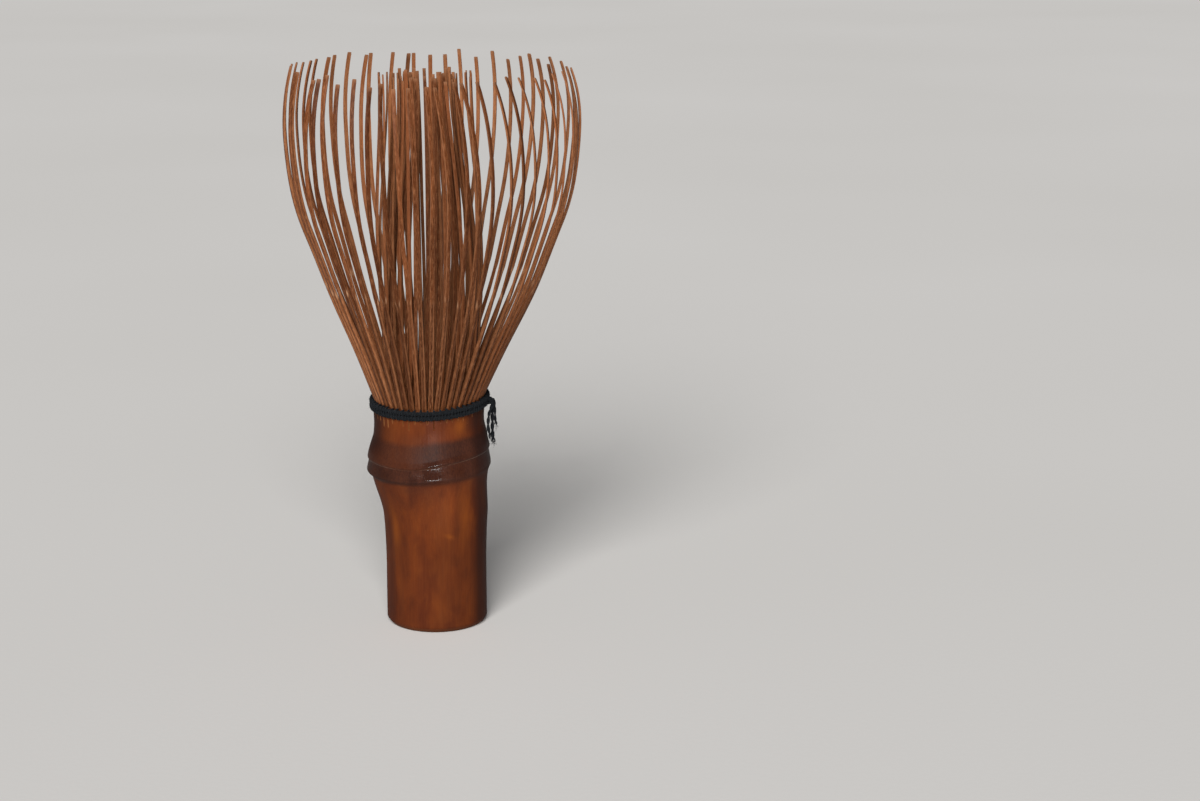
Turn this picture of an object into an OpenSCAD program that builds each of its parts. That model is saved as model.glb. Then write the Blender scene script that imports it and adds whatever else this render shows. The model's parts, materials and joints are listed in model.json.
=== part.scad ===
// Bamboo tea whisk: a hollow culm whose upper end is split into a ring of springy
// outer tines and a bunch of finer inner tines, held apart by a laced thread.
// The origin is the centre of the base, and +Z points up the culm to the tips.

/* [Overall] */
// Height from the base to the tine tips
whisk_h = 116; // [96:1:140]
// Outer radius across the widest part of the outer tines
belly_r = 30.4; // [25:0.2:37]

/* [Handle] */
// Outer radius of the culm at its base
grip_r = 10.3; // [9.5:0.1:13]
// Outer radius of the culm at the split crown
neck_r = 11.7; // [10.5:0.1:14.1]
// Height of the top of the split crown, where the tines spring free
crown_z = 48.3; // [42:0.1:58]
// Radius of the hollow below the septum
bore_r = 7.6; // [6:0.1:9.2]
// Depth of the hollow, from the base to the septum
bore_h = 31; // [24:0.5:37]
// Thickness of the septum that closes the culm at its node
septum_t = 3.5; // [1.5:0.1:4.5]
// Chamfer round the outer edge of the base
base_chamfer = 0.6; // [0.2:0.1:1]

/* [Culm node] */
// Height of the middle of the swelling at the node
node_z = 32; // [28:0.5:38]
// How far the swelling stands out of the taper
node_rise = 1.65; // [0.8:0.05:2.4]
// Half the height of the swelling
node_half_h = 10.5; // [8:0.5:13]
// Height of the sheath scar's groove above the middle of the swelling
scar_offset = 3; // [1:0.1:5]
// Depth of the sheath scar's groove
scar_depth = 0.3; // [0.1:0.05:0.6]
// Height of the sheath scar's groove
scar_h = 0.9; // [0.5:0.1:1.5]

/* [Outer tines] */
// Number of bodies that the outer tines flex in
outer_groups = 14; // [10:2:16]
// Outer tines in each body
outer_per_group = 4; // [3:1:4]
// Width of an outer tine, along the ring
outer_tine_w = 0.88; // [0.6:0.02:1]
// Thickness of an outer tine at its root
outer_root_t = 0.8; // [0.6:0.05:1]
// Thickness of an outer tine at its tip
outer_tip_t = 0.35; // [0.25:0.05:0.5]
// Distance from the widest part up to the tips
tip_rise = 11.5; // [6:0.5:16]
// Share of the outward sweep that is an arc, the rest being a straight flare
belly_bend = 0.57; // [0.35:0.01:0.8]

/* [Inner tines] */
// Number of bodies that the inner tines flex in
inner_groups = 8; // [6:1:8]
// Inner tines in each body
inner_per_group = 7; // [6:1:8]
// Width of an inner tine, along the ring
inner_tine_w = 0.45; // [0.3:0.05:0.5]
// Thickness of an inner tine at its root
inner_root_t = 0.7; // [0.5:0.05:0.9]
// Thickness of an inner tine at its tip
inner_tip_t = 0.3; // [0.2:0.05:0.4]
// Radius of the tips that stand at the edge of the bunch
bunch_r = 8; // [7:0.1:10]
// Radius of the tips that stand in the middle of the bunch
bunch_core_r = 5; // [4:0.1:6]
// How far the inner tips stop below the outer ones
inner_tip_drop = 1.5; // [0:0.5:4]

/* [Lacing] */
// Diameter of the thread
thread_d = 0.9; // [0.6:0.05:1.1]
// Space left between the thread and the bamboo beside it
thread_gap = 0.12; // [0.05:0.01:0.25]
// Space between the two outer rounds
round_gap = 0.06; // [0.05:0.01:0.2]
// Distance from the top round down from the top of the crown
lacing_drop = 0.3; // [0.2:0.1:1]
// Depth of the seat that the outer rounds lie in
seat_depth = 0.4; // [0.2:0.05:0.5]
// Direction of the knot, anticlockwise from +X
knot_angle = -10; // [-90:5:90]
// Diameter of the knot
knot_d = 1.9; // [1.6:0.1:2.6]
// How far the knot is pressed onto the lacing
knot_press = 0.55; // [0.3:0.05:0.7]
// Length of the thread's longer free end
tail_long = 8.6; // [5:0.2:12]
// Length of the thread's shorter free end
tail_short = 5.2; // [3:0.2:10]
// Angle between the free ends and the upright, round the culm
tail_lean = 14; // [0:1:25]
// Angle that the free ends stand off the culm
tail_stand_off = 5; // [3:1:10]
// Angle between the two free ends
tail_spread = 8; // [4:1:15]

/* [Springing] */
// Gap between the crown and each tine that flexes on it
flex_gap = 0.2; // [0.15:0.05:0.4]
// How far the splits run down below the lacing
split_run = 2; // [1:0.5:4]

/* [Hidden] */
outer_tines = outer_groups * outer_per_group;
inner_tines = inner_groups * inner_per_group;
tine_z = crown_z + flex_gap;
channel_w = thread_d + 2 * thread_gap;
outer_root_r = neck_r - outer_root_t / 2;
channel_r = neck_r - outer_root_t - channel_w / 2;
inner_root_r = neck_r - outer_root_t - channel_w - inner_root_t / 2;
cup_r = inner_root_r - inner_root_t / 2;
cup_z = bore_h + septum_t;
outer_rounds = 2;
round_pitch = thread_d + round_gap;
seat_r = neck_r - seat_depth;
seat_h = outer_rounds * round_pitch + 2 * thread_gap;
seat_top = crown_z - lacing_drop;
split_z = seat_top - seat_h - split_run;
channel_z = seat_top - seat_h;
lacing_r = seat_r + thread_gap + thread_d / 2;
belly_z = whisk_h - tip_rise;
knot_r = lacing_r + thread_d / 2 + knot_d / 2 - knot_press;
knot_z = seat_top - seat_h / 2;
outer_steps = 9;
inner_steps = 6;
profile_steps = 26;
$fn = 96;

culm_colour = [0.45, 0.22, 0.10];
outer_colour = [0.55, 0.32, 0.20];
inner_colour = [0.48, 0.27, 0.17];
thread_colour = [0.08, 0.09, 0.11];

outer_names = [for (k = [1:outer_groups]) str("outer_tines_", k < 10 ? "0" : "", k)];
inner_names = [for (k = [1:inner_groups]) str("inner_tines_", k)];

// Outer radius of the culm at height z: a taper with the node's swelling on it
function taper_r(z) = grip_r + (neck_r - grip_r) * pow(min(z / split_z, 1), 2);
function swell(z) = let (u = (z - node_z) / node_half_h) abs(u) < 1 ? node_rise * pow(1 - u * u, 2) : 0;
function culm_r(z) = taper_r(z) + swell(z);

// Centreline of an outer tine in the plane of the axis: a straight flare that runs
// tangent into an arc, which is upright at the belly and leans in at the tip
sweep_r = belly_r - outer_tip_t / 2 - outer_root_r;
sweep_z = belly_z - tine_z;
arc_r = belly_bend * (sweep_r * sweep_r + sweep_z * sweep_z) / (2 * sweep_r);
arc_centre = [belly_r - outer_tip_t / 2 - arc_r, belly_z];
to_centre = arc_centre - [outer_root_r, tine_z];
flare_angle = atan2(to_centre[1], to_centre[0]) - asin(arc_r / norm(to_centre));
arc_start = flare_angle - 90;
arc_end = asin((whisk_h - belly_z) / arc_r);
function outer_arc(a) = arc_centre + arc_r * [cos(a), sin(a)];
outer_line = concat(
    [[outer_root_r, tine_z]],
    [for (i = [0:outer_steps]) outer_arc(arc_start + (arc_end - arc_start) * i / outer_steps)]
);

// Centreline of an inner tine: it stands up from its root and eases in to its tip
function inner_line(tip_r) = [for (i = [0:inner_steps]) let (u = i / inner_steps)
    [inner_root_r + (tip_r - inner_root_r) * (1 - cos(180 * u)) / 2,
     tine_z + (whisk_h - inner_tip_drop - tine_z) * u]];

// Unit vector square to a line at its point i
function square_to(line, i) = let (
    d = line[min(i + 1, len(line) - 1)] - line[max(i - 1, 0)]
) [d[1], -d[0]] / norm(d);

// Outline of a strip that follows a line, tapers from root to tip and is cut level
function strip(line, root_t, tip_t) = let (
    last = len(line) - 1,
    half = [for (i = [0:last]) (root_t + (tip_t - root_t) * i / last) / 2],
    side = [for (i = [0:last]) i == 0 || i == last ? [half[i], 0] : half[i] * square_to(line, i)]
) concat(
    [for (i = [0:last]) line[i] + side[i]],
    [for (i = [last:-1:0]) line[i] - side[i]]
);

// One tine, standing in the XZ plane on the +X side of the axis
module tine(line, w, root_t, tip_t) {
    rotate([90, 0, 0])
        linear_extrude(w, center = true)
            polygon(strip(line, root_t, tip_t));
}

// A group of outer tines, which flex together on the crown
module outer_group(k) {
    pitch = 360 / outer_tines;
    first = (k - 0.5) * 360 / outer_groups - (outer_per_group - 1) / 2 * pitch;
    color(outer_colour)
        for (i = [0:outer_per_group - 1])
            rotate([0, 0, first + i * pitch])
                tine(outer_line, outer_tine_w, outer_root_t, outer_tip_t);
}

// A group of inner tines: every other one leans on into the core of the bunch
module inner_group(k) {
    pitch = 360 / inner_tines;
    first = (k - 0.5) * 360 / inner_groups - (inner_per_group - 1) / 2 * pitch;
    color(inner_colour)
        for (i = [0:inner_per_group - 1])
            rotate([0, 0, first + i * pitch])
                tine(inner_line(i % 2 == 0 ? bunch_r : bunch_core_r), inner_tine_w, inner_root_t, inner_tip_t);
}

// Half section of the culm's outside, from the axis to the skin
module culm_section() {
    scar_z = node_z + scar_offset;
    low = [for (i = [0:profile_steps]) let (
        z = base_chamfer + (scar_z - scar_h / 2 - base_chamfer) * i / profile_steps
    ) [culm_r(z), z]];
    high = [for (i = [0:profile_steps]) let (
        z = scar_z + scar_h / 2 + (crown_z - scar_z - scar_h / 2) * i / profile_steps
    ) [culm_r(z), z]];
    polygon(concat(
        [[0, 0], [grip_r - base_chamfer, 0]],
        low,
        [[culm_r(scar_z) - scar_depth, scar_z]],
        high,
        [[0, crown_z]]
    ));
}

// Narrow cuts, from one radius out to another, that part the crown into tine roots
module splits(count, r_in, r_out, w) {
    for (i = [0:count - 1])
        rotate([0, 0, i * 360 / count])
            translate([r_in, -w / 2, split_z])
                cube([r_out - r_in, w, crown_z - split_z + 1]);
}

// Ring cut with a square section
module ring_cut(r_in, r_out, z, h) {
    rotate_extrude()
        translate([r_in, z])
            square([r_out - r_in, h]);
}

// The culm: hollow grip, node with its septum, cup above it and split crown
module handle() {
    outer_split_w = 2 * PI * outer_root_r / outer_tines - outer_tine_w;
    inner_split_w = 2 * PI * inner_root_r / inner_tines - inner_tine_w;
    color(culm_colour)
        difference() {
            rotate_extrude() culm_section();
            translate([0, 0, -1]) cylinder(h = bore_h + 1, r = bore_r);
            translate([0, 0, cup_z]) cylinder(h = crown_z - cup_z + 1, r = cup_r);
            ring_cut(channel_r - channel_w / 2, channel_r + channel_w / 2, channel_z, crown_z - channel_z + 1);
            ring_cut(seat_r, neck_r + 1, seat_top - seat_h, seat_h);
            splits(outer_tines, channel_r, neck_r + 1, outer_split_w);
            splits(inner_tines, cup_r - 1, channel_r, inner_split_w);
        }
}

// One closed round of thread
module thread_round(r, z) {
    color(thread_colour)
        rotate_extrude()
            translate([r, z])
                circle(d = thread_d, $fn = 32);
}

function outer_round_z(i) = seat_top - thread_gap - round_pitch * (i + 0.5);

module lacing_upper_round() { thread_round(lacing_r, outer_round_z(0)); }
module lacing_lower_round() { thread_round(lacing_r, outer_round_z(1)); }

// The round that lies in the channel and holds the outer tines off the inner ones
module lacing_inner_round() {
    thread_round(channel_r, channel_z + thread_gap + thread_d / 2);
}

// The knot that ties the rounds off, pressed on the outside of the lacing
module thread_knot() {
    color(thread_colour)
        rotate([0, 0, knot_angle])
            translate([knot_r, 0, knot_z])
                sphere(d = knot_d, $fn = 48);
}

// One free end of the thread, hanging from the knot down along the culm
module free_end(length, lean) {
    rotate([lean, 0, 0])
        translate([0, 0, -length])
            cylinder(h = length, d = thread_d, $fn = 24);
}

module thread_tail() {
    clear_r = culm_r(knot_z - tail_long) - culm_r(knot_z);
    start_r = max(knot_r, seat_r + max(clear_r, 0) + thread_d);
    color(thread_colour)
        rotate([0, 0, knot_angle])
            translate([start_r + thread_gap, 0, knot_z])
                rotate([0, -tail_stand_off, 0]) {
                    free_end(tail_long, tail_lean);
                    free_end(tail_short, tail_lean + tail_spread);
                }
}

handle();
lacing_lower_round();
lacing_upper_round();
lacing_inner_round();
thread_knot();
thread_tail();
for (k = [1:outer_groups])
    outer_group(k);
for (k = [1:inner_groups])
    inner_group(k);
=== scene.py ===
import json
import math

import bpy
import numpy as np
from mathutils import Matrix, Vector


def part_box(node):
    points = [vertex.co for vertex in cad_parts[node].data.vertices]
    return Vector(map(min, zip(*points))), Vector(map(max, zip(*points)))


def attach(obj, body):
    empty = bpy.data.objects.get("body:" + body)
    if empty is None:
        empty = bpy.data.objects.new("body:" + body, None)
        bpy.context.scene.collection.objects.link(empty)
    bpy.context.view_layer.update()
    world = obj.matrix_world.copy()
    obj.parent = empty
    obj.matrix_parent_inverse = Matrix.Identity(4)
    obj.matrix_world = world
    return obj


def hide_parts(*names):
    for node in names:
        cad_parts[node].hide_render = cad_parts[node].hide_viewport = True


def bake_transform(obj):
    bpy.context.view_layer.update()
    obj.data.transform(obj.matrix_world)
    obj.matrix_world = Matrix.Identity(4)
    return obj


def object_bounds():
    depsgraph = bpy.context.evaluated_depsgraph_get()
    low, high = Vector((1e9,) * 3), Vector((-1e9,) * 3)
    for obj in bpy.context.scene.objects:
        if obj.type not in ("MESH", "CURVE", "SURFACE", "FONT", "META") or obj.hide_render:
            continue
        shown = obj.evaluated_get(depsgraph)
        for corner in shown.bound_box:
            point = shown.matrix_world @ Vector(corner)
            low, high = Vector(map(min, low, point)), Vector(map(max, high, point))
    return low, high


# Lengths are millimetres unless a name says otherwise. Meshes are scaled to metres as they are made.
MM = 0.001
SEED = 20

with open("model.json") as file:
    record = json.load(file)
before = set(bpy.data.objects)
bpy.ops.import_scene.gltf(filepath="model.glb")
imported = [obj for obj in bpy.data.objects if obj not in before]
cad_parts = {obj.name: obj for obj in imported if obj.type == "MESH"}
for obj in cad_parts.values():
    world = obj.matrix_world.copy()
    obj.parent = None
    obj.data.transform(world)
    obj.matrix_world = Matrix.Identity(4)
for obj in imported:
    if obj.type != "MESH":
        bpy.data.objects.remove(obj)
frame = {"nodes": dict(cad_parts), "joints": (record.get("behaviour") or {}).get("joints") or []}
CAD_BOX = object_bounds()
JOINTS = {j["name"]: j for j in frame["joints"]}


def joint_radius(name):
    x, y, _ = JOINTS[name]["pos_m"]
    return math.hypot(x, y) / MM


def node_box(name):
    low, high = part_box(name)
    return np.array(low) / MM, np.array(high) / MM


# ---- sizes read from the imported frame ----
OUTER_GROUPS = sum(n.startswith("outer_tines") for n in frame["nodes"])
INNER_GROUPS = sum(n.startswith("inner_tines") for n in frame["nodes"])
OUTER_PER_GROUP = 4
INNER_PER_GROUP = 7
OUTER_COUNT = OUTER_GROUPS * OUTER_PER_GROUP
INNER_COUNT = INNER_GROUPS * INNER_PER_GROUP
PITCH = 2 * math.pi / OUTER_COUNT
OUTER_ROOT_R = joint_radius("outer_tines_01_flex")
INNER_ROOT_R = joint_radius("inner_tines_1_flex")
FLEX_Z = JOINTS["outer_tines_01_flex"]["pos_m"][2] / MM
TIP_Z = node_box("outer_tines_01")[1][2]
INNER_TIP_Z = node_box("inner_tines_1")[1][2]
BELLY_R = float(CAD_BOX[1][0]) / MM

# ---- sizes of the same features that the frame doesn't name ----
GRIP_R = 10.3
BORE_R = 7.6
BORE_TOP = 31.0
CUP_R = 9.06
CUP_FLOOR = 34.5
CHANNEL_IN = 9.76
CHANNEL_OUT = 10.9
CHANNEL_FLOOR = 45.84
SEAT_R = 11.36
SKIN_TOP = 46.45
BELLY_DROP = 11.5
BELLY_BEND = 0.57
OUTER_W = 0.88
OUTER_ROOT_T = 0.8
OUTER_TIP_T = 0.36
OUTER_BLADE_T = 0.46
OUTER_END_T = 0.32
INNER_W = 0.7
INNER_ROOT_T = 0.7
INNER_TIP_T = 0.3
LEAVE_Z = 48.5  # where the tines leave the lacing
BEVEL_END_Z = 72.3  # where the wide bevels of the outer tines end
PAIR_LEAN = 1.025  # how far each tine of a pair leans to the other at its tip


# ---- small maths ----
def smooth(t):
    t = np.clip(t, 0, 1)
    return t * t * (3 - 2 * t)


def hump(x, centre, half):
    """1 at centre, 0 beyond half on either side, smooth."""
    return smooth(1 - np.abs(x - centre) / half)


def bell(x, centre, width):
    """1 at centre, falling off on either side as a Gaussian."""
    return np.exp(-(((x - centre) / width) ** 2))


def curve(x, xs, ys):
    """Smooth monotone curve through the points."""
    xs = np.asarray(xs, float)
    ys = np.asarray(ys, float)
    h = np.diff(xs)
    d = np.diff(ys) / h
    m = np.zeros_like(xs)
    m[0] = d[0]
    m[-1] = d[-1]
    same = d[:-1] * d[1:] > 0
    m[1:-1] = np.where(same, 2 * d[:-1] * d[1:] / np.where(same, d[:-1] + d[1:], 1), 0)
    k = np.clip(np.searchsorted(xs, x) - 1, 0, len(h) - 1)
    t = np.clip((x - xs[k]) / h[k], 0, 1)
    t2 = t * t
    t3 = t2 * t
    return (
        (2 * t3 - 3 * t2 + 1) * ys[k]
        + (t3 - 2 * t2 + t) * h[k] * m[k]
        + (3 * t2 - 2 * t3) * ys[k + 1]
        + (t3 - t2) * h[k] * m[k + 1]
    )


def ring_noise(rng, angle, waves, fall=0.7):
    """Smooth noise round a circle, about -1 to 1."""
    total = np.zeros_like(angle)
    weight = 0.0
    for n, k in enumerate(waves):
        a = fall ** n
        total += a * np.cos(k * angle + rng.uniform(0, 2 * math.pi))
        weight += a
    return total / weight


def settle(points):
    """The culm isn't quite straight: it steps left at the node, and its crown and lacing sit askew."""
    p = points.copy()
    x, y, z = points.T
    step = smooth((z - 23) / 9) * np.exp(-np.maximum(0, z - LEAVE_Z) / 16)
    lean = 0.15 * (1 - smooth((z - 50) / 30))
    p[:, 0] -= step + lean
    crown = smooth((z - 40) / 5) * (1 - smooth((z - 50) / 24))
    tilt = 0.034 * x + 0.045 * y
    bowed = 0.0012 * np.minimum(x * x, 400)
    p[:, 2] += (0.45 + tilt + bowed) * crown
    return p


def unit(v):
    return v / np.maximum(np.linalg.norm(v, axis=-1, keepdims=True), 1e-12)


# ---- mesh making ----
class Build:
    """Collects grids of quads, with a fibre map, marks on points and a cut-face mark, into one mesh."""

    def __init__(self):
        self.points = []
        self.faces = []
        self.fibre = []
        self.cut = []
        self.slots = []
        self.marks = {}
        self.count = 0

    def grid(self, points, across, along, marks=None, cut=None, closed=False, slot=0):
        """points is (rows, columns, 3); the columns wrap round, and the rows do too if closed."""
        rows, cols = points.shape[:2]
        r = np.arange(rows if closed else rows - 1)
        c = np.arange(cols)
        ri, ci = np.meshgrid(r, c, indexing="ij")
        rn = (ri + 1) % rows
        cn = (ci + 1) % cols
        base = self.count
        quads = np.stack([ri * cols + ci, ri * cols + cn, rn * cols + cn, rn * cols + ci], -1)
        self.faces += (quads.reshape(-1, 4) + base).tolist()
        u = np.broadcast_to(across, (rows, cols + 1))
        v = np.broadcast_to(np.asarray(along, float).reshape(rows, 1), (rows, cols + 1))
        v_next = v[rn, ci]
        if closed:
            step = v[1, 0] - v[0, 0]
            v_next = np.where(rn == 0, v[ri, ci] + step, v_next)
        v_here = v[ri, ci]
        corners = [(u[ri, ci], v_here), (u[ri, ci + 1], v_here), (u[rn, ci + 1], v_next), (u[rn, ci], v_next)]
        self.fibre.append(np.stack([np.stack(p, -1) for p in corners], 2).reshape(-1, 2))
        face_cut = np.zeros((len(r), cols)) if cut is None else np.broadcast_to(cut, (len(r), cols))
        self.cut.append(np.repeat(face_cut.reshape(-1), 4))
        self.slots += [slot] * (len(r) * cols)
        self._add(points.reshape(-1, 3), marks)
        return base

    def cap(self, first, cols, flip, uv, cut=1.0, slot=0):
        """One face over the ring of points that starts at first."""
        loop = list(range(first, first + cols))
        self.faces.append(loop[::-1] if flip else loop)
        self.fibre.append(np.tile(np.asarray(uv, float), (cols, 1)))
        self.cut.append(np.full(cols, cut))
        self.slots.append(slot)

    def fan(self, first, cols, centre, flip, slot=0):
        """Triangles from a ring of points to a centre point."""
        c = self.count
        self._add(np.asarray([centre], float), None)
        for i in range(cols):
            a = first + i
            b = first + (i + 1) % cols
            self.faces.append([a, c, b] if flip else [a, b, c])
            self.slots.append(slot)
        self.fibre.append(np.zeros((3 * cols, 2)))
        self.cut.append(np.ones(3 * cols))

    def _add(self, points, marks):
        self.points.append(points)
        for name, values in (marks or {}).items():
            self.marks.setdefault(name, []).append((self.count, np.asarray(values, float).reshape(-1)))
        self.count += len(points)

    def object(self, name, materials, sharp=None):
        points = settle(np.concatenate(self.points))
        mesh = bpy.data.meshes.new(name)
        mesh.from_pydata((points * MM).tolist(), [], self.faces)
        mesh.polygons.foreach_set("use_smooth", np.ones(len(self.faces), bool))
        mesh.polygons.foreach_set("material_index", np.array(self.slots, np.int32))
        layer = mesh.uv_layers.new(name="fibre")
        layer.uv.foreach_set("vector", np.concatenate(self.fibre).astype(np.float32).reshape(-1))
        made = mesh.attributes.new("cut", "FLOAT", "CORNER")
        made.data.foreach_set("value", np.concatenate(self.cut).astype(np.float32))
        for mark, parts in self.marks.items():
            values = np.zeros(self.count, np.float32)
            for start, part in parts:
                values[start : start + len(part)] = part
            made = mesh.attributes.new(mark, "FLOAT", "POINT")
            made.data.foreach_set("value", values)
        for material in materials:
            mesh.materials.append(material)
        if sharp is not None:
            mesh.set_sharp_from_angle(angle=math.radians(sharp))
        mesh.update()
        obj = bpy.data.objects.new(name, mesh)
        bpy.context.scene.collection.objects.link(obj)
        return obj


# ---- materials ----
class Shader:
    """A node material, with short helpers for its nodes."""

    def __init__(self, name):
        self.material = bpy.data.materials.new(name)
        self.material.use_nodes = True
        self.tree = self.material.node_tree
        self.bsdf = self.tree.nodes["Principled BSDF"]

    def node(self, kind, **settings):
        made = self.tree.nodes.new(kind)
        for key, value in settings.items():
            setattr(made, key, value)
        return made

    def link(self, value, socket):
        if isinstance(value, bpy.types.NodeSocket):
            self.tree.links.new(value, socket)
        else:
            socket.default_value = value

    def attribute(self, name):
        return self.node("ShaderNodeAttribute", attribute_name=name).outputs["Fac"]

    def fibre(self, scale):
        place = self.node("ShaderNodeMapping")
        uv = self.node("ShaderNodeUVMap", uv_map="fibre")
        self.link(uv.outputs["UV"], place.inputs["Vector"])
        place.inputs["Scale"].default_value = scale
        return place.outputs["Vector"]

    def solid(self, scale):
        place = self.node("ShaderNodeMapping")
        coordinates = self.node("ShaderNodeTexCoord")
        self.link(coordinates.outputs["Object"], place.inputs["Vector"])
        place.inputs["Scale"].default_value = scale
        return place.outputs["Vector"]

    def noise(self, vector, scale=1.0, detail=2.0, rough=0.5, twist=0.0):
        made = self.node("ShaderNodeTexNoise")
        self.link(vector, made.inputs["Vector"])
        made.inputs["Scale"].default_value = scale
        made.inputs["Detail"].default_value = detail
        made.inputs["Roughness"].default_value = rough
        made.inputs["Distortion"].default_value = twist
        return made.outputs["Fac"]

    def cells(self, vector, feature="F1"):
        made = self.node("ShaderNodeTexVoronoi", feature=feature)
        self.link(vector, made.inputs["Vector"])
        made.inputs["Scale"].default_value = 1.0
        return made.outputs["Distance"]

    def maths(self, kind, a, b=0.0, clamp=False):
        made = self.node("ShaderNodeMath", operation=kind, use_clamp=clamp)
        self.link(a, made.inputs[0])
        self.link(b, made.inputs[1])
        return made.outputs[0]

    def span(self, value, low, high, to_low=0.0, to_high=1.0):
        made = self.node("ShaderNodeMapRange", clamp=True)
        self.link(value, made.inputs["Value"])
        made.inputs["From Min"].default_value = low
        made.inputs["From Max"].default_value = high
        made.inputs["To Min"].default_value = to_low
        made.inputs["To Max"].default_value = to_high
        return made.outputs["Result"]

    def mix(self, share, a, b, blend="MIX"):
        made = self.node("ShaderNodeMix", data_type="RGBA", blend_type=blend)
        self.link(share, made.inputs["Factor"])
        self.link((*a, 1.0) if isinstance(a, tuple) else a, made.inputs["A"])
        self.link((*b, 1.0) if isinstance(b, tuple) else b, made.inputs["B"])
        return made.outputs["Result"]

    def bump(self, height, distance, strength=1.0, under=None):
        made = self.node("ShaderNodeBump")
        made.inputs["Strength"].default_value = strength
        made.inputs["Distance"].default_value = distance
        self.link(height, made.inputs["Height"])
        if under is not None:
            self.link(under, made.inputs["Normal"])
        return made.outputs["Normal"]

    def set(self, **values):
        for key, value in values.items():
            self.link(value, self.bsdf.inputs[key.replace("_", " ")])
        return self.material


def culm_skin():
    """Smoked bamboo skin: mottled orange to brown, dark and crackled at the node, pale along the scar,
    painted shade down its sides.
    """
    s = Shader("smoked_culm_skin")
    band = s.attribute("node_band")
    scar = s.attribute("scar")
    kerf = s.attribute("kerf")
    rim = s.attribute("rim")
    patch = s.attribute("patch")
    stain_and_side_shade = s.attribute("stain_and_side_shade")
    satin = s.attribute("satin")
    blotch = s.noise(s.solid((150, 150, 62)), 1.0, 3.0, 0.55, 0.4)
    mottle = s.noise(s.solid((300, 300, 130)), 1.0, 3.0, 0.55, 0.25)
    streak = s.noise(s.solid((1500, 1500, 38)), 1.0, 3.0, 0.55)
    fibre = s.noise(s.solid((6200, 6200, 110)), 1.0, 2.0, 0.5)
    base = s.mix(s.span(blotch, 0.36, 0.64), (0.082, 0.0155, 0.0034), (0.142, 0.0295, 0.0046))
    base = s.mix(s.span(mottle, 0.50, 0.74, 0.0, 0.42), base, (0.215, 0.052, 0.0066))
    base = s.mix(s.span(mottle, 0.46, 0.26, 0.0, 0.50), base, (0.045, 0.0095, 0.0030))
    base = s.mix(s.span(streak, 0.40, 0.64, 0.0, 0.17), base, (0.070, 0.0150, 0.0042))
    base = s.mix(patch, base, (0.300, 0.078, 0.0085))
    smoke = s.span(s.noise(s.solid((110, 110, 60)), 1.0, 2.0, 0.5), 0.40, 0.70, 0.0, 0.35)
    base = s.mix(smoke, base, (0.040, 0.0120, 0.0056))
    crackle = s.cells(s.solid((3100, 3100, 900)), "DISTANCE_TO_EDGE")
    dark = s.mix(s.span(mottle, 0.35, 0.65), (0.0210, 0.0068, 0.0044), (0.046, 0.0140, 0.0080))
    dark = s.mix(s.span(crackle, 0.10, 0.0, 0.0, 0.55), dark, (0.0090, 0.0036, 0.0030))
    edge = s.maths("ADD", band, s.span(mottle, 0.30, 0.70, -0.16, 0.16))
    base = s.mix(s.span(edge, 0.12, 0.90, 0.0, 0.96), base, dark)
    base = s.mix(s.span(fibre, 0.42, 0.75, 0.0, 0.06), base, (0.30, 0.10, 0.03))
    # darker down both sides: partly uneven smoking, partly painted shade
    base = s.mix(s.maths("MULTIPLY", stain_and_side_shade, 0.84), base, (0.0200, 0.0052, 0.0030))
    base = s.mix(s.maths("MULTIPLY", scar, s.span(streak, 0.25, 0.55), True), base, (0.21, 0.115, 0.075))
    base = s.mix(kerf, base, (0.33, 0.135, 0.045))
    base = s.mix(rim, base, (0.095, 0.032, 0.011))
    gloss = s.span(mottle, 0.3, 0.7, 0.68, 0.78)
    gloss = s.maths("ADD", gloss, s.maths("MULTIPLY", satin, -0.54))
    fine = s.bump(fibre, 0.000022, 0.45)
    waves = s.bump(streak, 0.00006, 0.25, fine)
    pores = s.maths("MULTIPLY", band, s.span(crackle, 0.0, 0.16))
    relief = s.bump(pores, 0.00002, 0.25, waves)
    return s.set(Base_Color=base, Roughness=gloss, Normal=relief, Specular_IOR_Level=0.115)


def culm_cut():
    """Sawn and scraped bamboo: paler, with vascular bundles on the end grain and fibres down the bore."""
    s = Shader("smoked_culm_cut")
    dots = s.cells(s.solid((1900, 1900, 60)))
    long = s.noise(s.solid((2600, 2600, 60)), 1.0, 3.0, 0.6)
    cloud = s.noise(s.solid((210, 210, 210)), 1.0, 3.0, 0.5)
    base = s.mix(s.span(cloud, 0.35, 0.65), (0.150, 0.064, 0.026), (0.260, 0.125, 0.055))
    base = s.mix(s.span(dots, 0.34, 0.12, 0.0, 0.75), base, (0.085, 0.035, 0.018))
    base = s.mix(s.span(long, 0.45, 0.70, 0.0, 0.35), base, (0.110, 0.048, 0.024))
    relief = s.bump(dots, 0.00008, 0.5, s.bump(long, 0.00006, 0.5))
    return s.set(Base_Color=base, Roughness=s.span(cloud, 0.3, 0.7, 0.62, 0.80), Normal=relief)


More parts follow.
